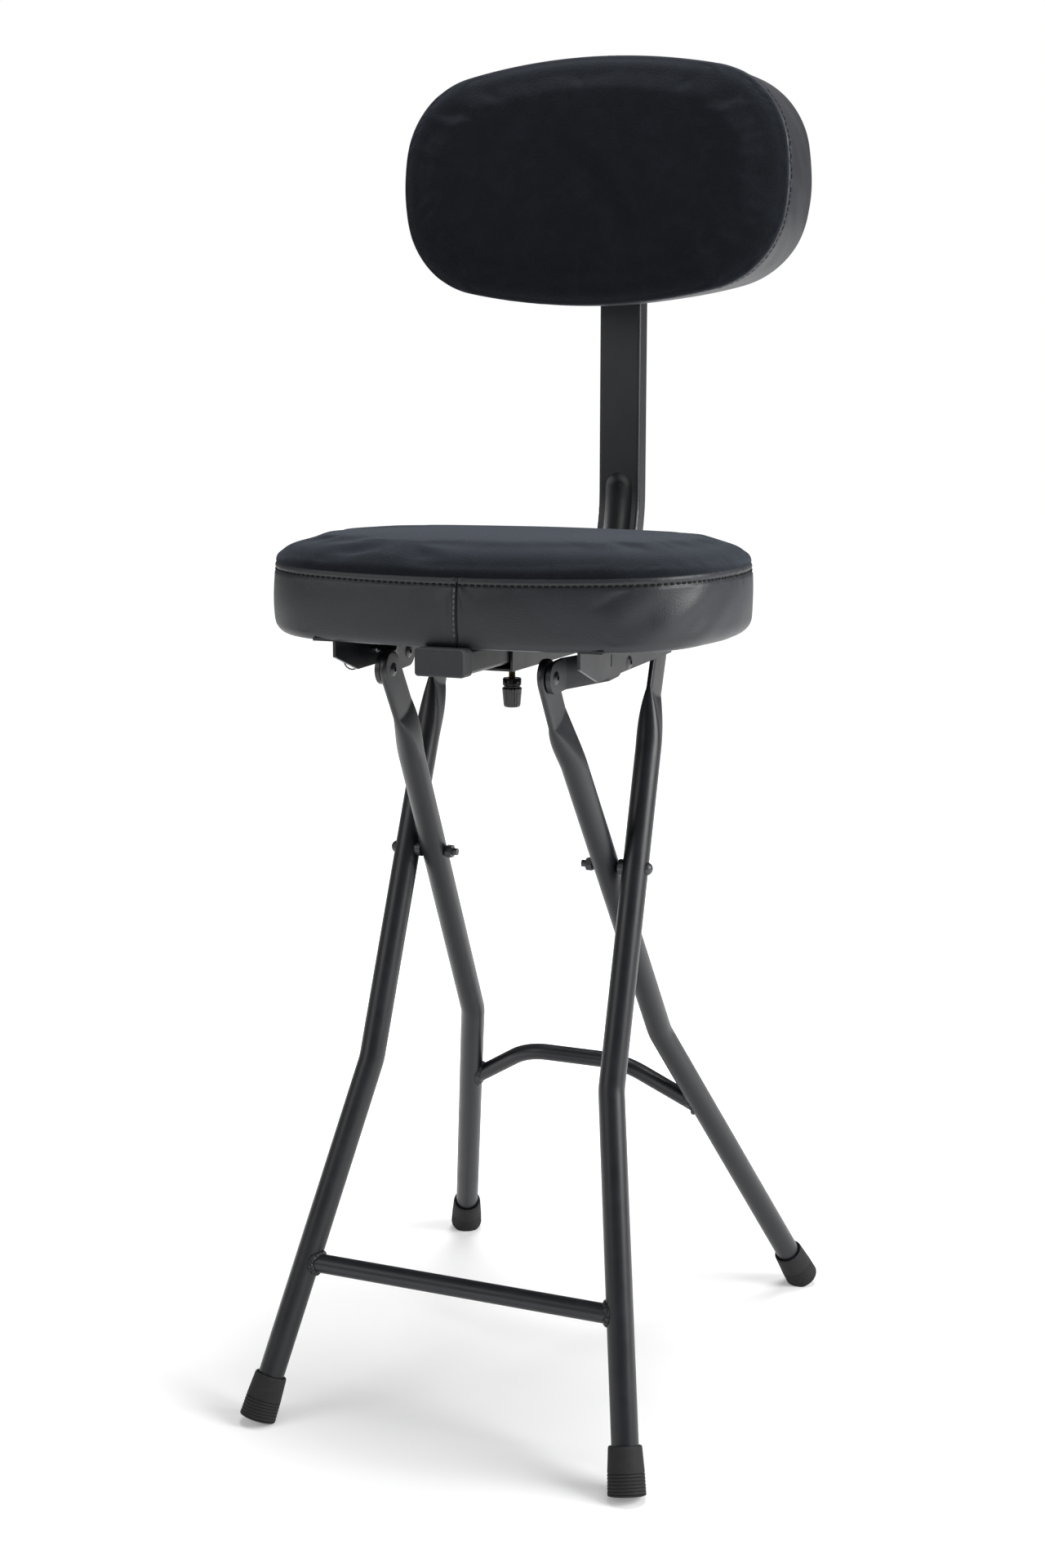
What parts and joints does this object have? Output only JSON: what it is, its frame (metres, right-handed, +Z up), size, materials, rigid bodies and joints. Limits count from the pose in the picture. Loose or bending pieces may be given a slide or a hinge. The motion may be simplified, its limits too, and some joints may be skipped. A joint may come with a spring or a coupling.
{
  "type": "folding guitar stool",
  "caption": "Folding padded stool with crossing tube legs, link-folded seat, sprung lock ring and a backrest on a bent stem that slides in a clamped channel",
  "frame": {"origin": "on the floor, in the middle plane, midway between the foremost and rearmost points of the feet", "axes": "+Z up, -Y the way the sitter faces, +X to the right in the picture"},
  "size_m": [0.394, 0.4864, 1.1461],
  "materials": {
    "powder_coat": "satin black powder coat",
    "vinyl": "black grained vinyl with stitched seams",
    "velvet": "black brushed velvet",
    "foam": "upholstery foam, hidden",
    "rubber": "dull black rubber",
    "cap_plastic": "fine-textured grey-black plastic",
    "knob_plastic": "glossy black plastic",
    "zinc_yellow": "yellow zinc plating",
    "bright_steel": "bright plated steel",
    "black_steel": "blackened steel fastenings",
    "plywood": "plywood, hidden or painted black"
  },
  "bodies": {
    "front_frame": {"front_leg_left": "powder_coat", "front_leg_right": "powder_coat", "front_crossbar": "powder_coat", "front_foot_left": "rubber", "front_foot_right": "rubber", "pivot_bolts": "black_steel", "pivot_spacers": "black_steel", "pivot_nuts": "black_steel"},
    "rear_frame": {"rear_leg_left": "powder_coat", "rear_leg_right": "powder_coat", "rear_crossbar": "powder_coat", "rear_foot_left": "rubber", "rear_foot_right": "rubber", "rear_leg_rivets": "black_steel"},
    "links": {"seat_link_left": "powder_coat", "seat_link_right": "powder_coat", "link_rivets": "black_steel"},
    "seat": {"seat_board": "plywood", "seat_side_band": "vinyl", "seat_foam": "foam", "seat_top_pad": "velvet", "seat_bracket_left": "powder_coat", "seat_bracket_right": "powder_coat", "bracket_screws": "black_steel", "seat_pivot_rivets": "black_steel", "bracket_rivets": "black_steel", "bracket_spacers": "black_steel", "stem_receiver": "powder_coat", "receiver_screws": "black_steel", "clamp_nut": "black_steel", "lock_housing": "bright_steel", "lock_spring": "bright_steel"},
    "backrest": {"back_stem": "powder_coat", "stem_end_cap": "cap_plastic", "stem_top_plug": "cap_plastic", "back_board": "plywood", "back_side_band": "vinyl", "back_foam": "foam", "back_top_pad": "velvet", "back_bolts": "black_steel"},
    "clamp_screw": {"clamp_stud": "zinc_yellow"},
    "clamp_handle": {"clamp_knob": "knob_plastic"},
    "lock_plunger": {"lock_pin": "bright_steel"},
    "lock_pull_ring": {"lock_ring": "bright_steel"}
  },
  "joints": [
    {"name": "seat_fold", "type": "hinge", "parent": "front_frame", "child": "seat", "pos_m": [0, 0.01441, 0.64655], "axis": [-1, 0, 0], "range_deg": [0, 108.67]},
    {"name": "rear_fold", "type": "hinge", "parent": "front_frame", "child": "rear_frame", "pos_m": [0, -0.05362, 0.467], "axis": [-1, 0, 0], "range_deg": [0, 46.43]},
    {"name": "link_fold", "type": "hinge", "parent": "seat", "child": "links", "pos_m": [0, -0.07524, 0.64171], "axis": [1, 0, 0], "range_deg": [0, 166.01]},
    {"name": "back_slide", "type": "slide", "parent": "seat", "child": "backrest", "axis": [0, 1, 0], "range_m": [-0.03, 0.07]},
    {"name": "clamp_turn", "type": "hinge", "parent": "clamp_screw", "child": "clamp_handle", "pos_m": [0, -0.06862, 0.6349], "axis": [0, 0, -1], "range_deg": [0, 720.1]},
    {"name": "clamp_feed", "type": "slide", "parent": "seat", "child": "clamp_screw", "axis": [0, 0, -1], "range_m": [0, 0.002]},
    {"name": "lock_pull", "type": "slide", "parent": "seat", "child": "lock_plunger", "axis": [-1, 0, 0], "range_m": [0, 0.0056], "stiffness_N_per_m": 900, "springref_m": -0.004, "deforming": ["lock_spring"]},
    {"name": "ring_swing", "type": "hinge", "parent": "lock_plunger", "child": "lock_pull_ring", "pos_m": [-0.1233, -0.11693, 0.648], "axis": [0.5, 0.866, 0], "range_deg": [-12, 60]}
  ],
  "couplings": [
    {"joint": "rear_fold", "follows": "seat_fold", "ratio": 0.42718},
    {"joint": "link_fold", "follows": "seat_fold", "ratio": 1.5276},
    {"joint": "clamp_turn", "follows": "clamp_feed", "rad_per_m": 6283.2}
  ]
}
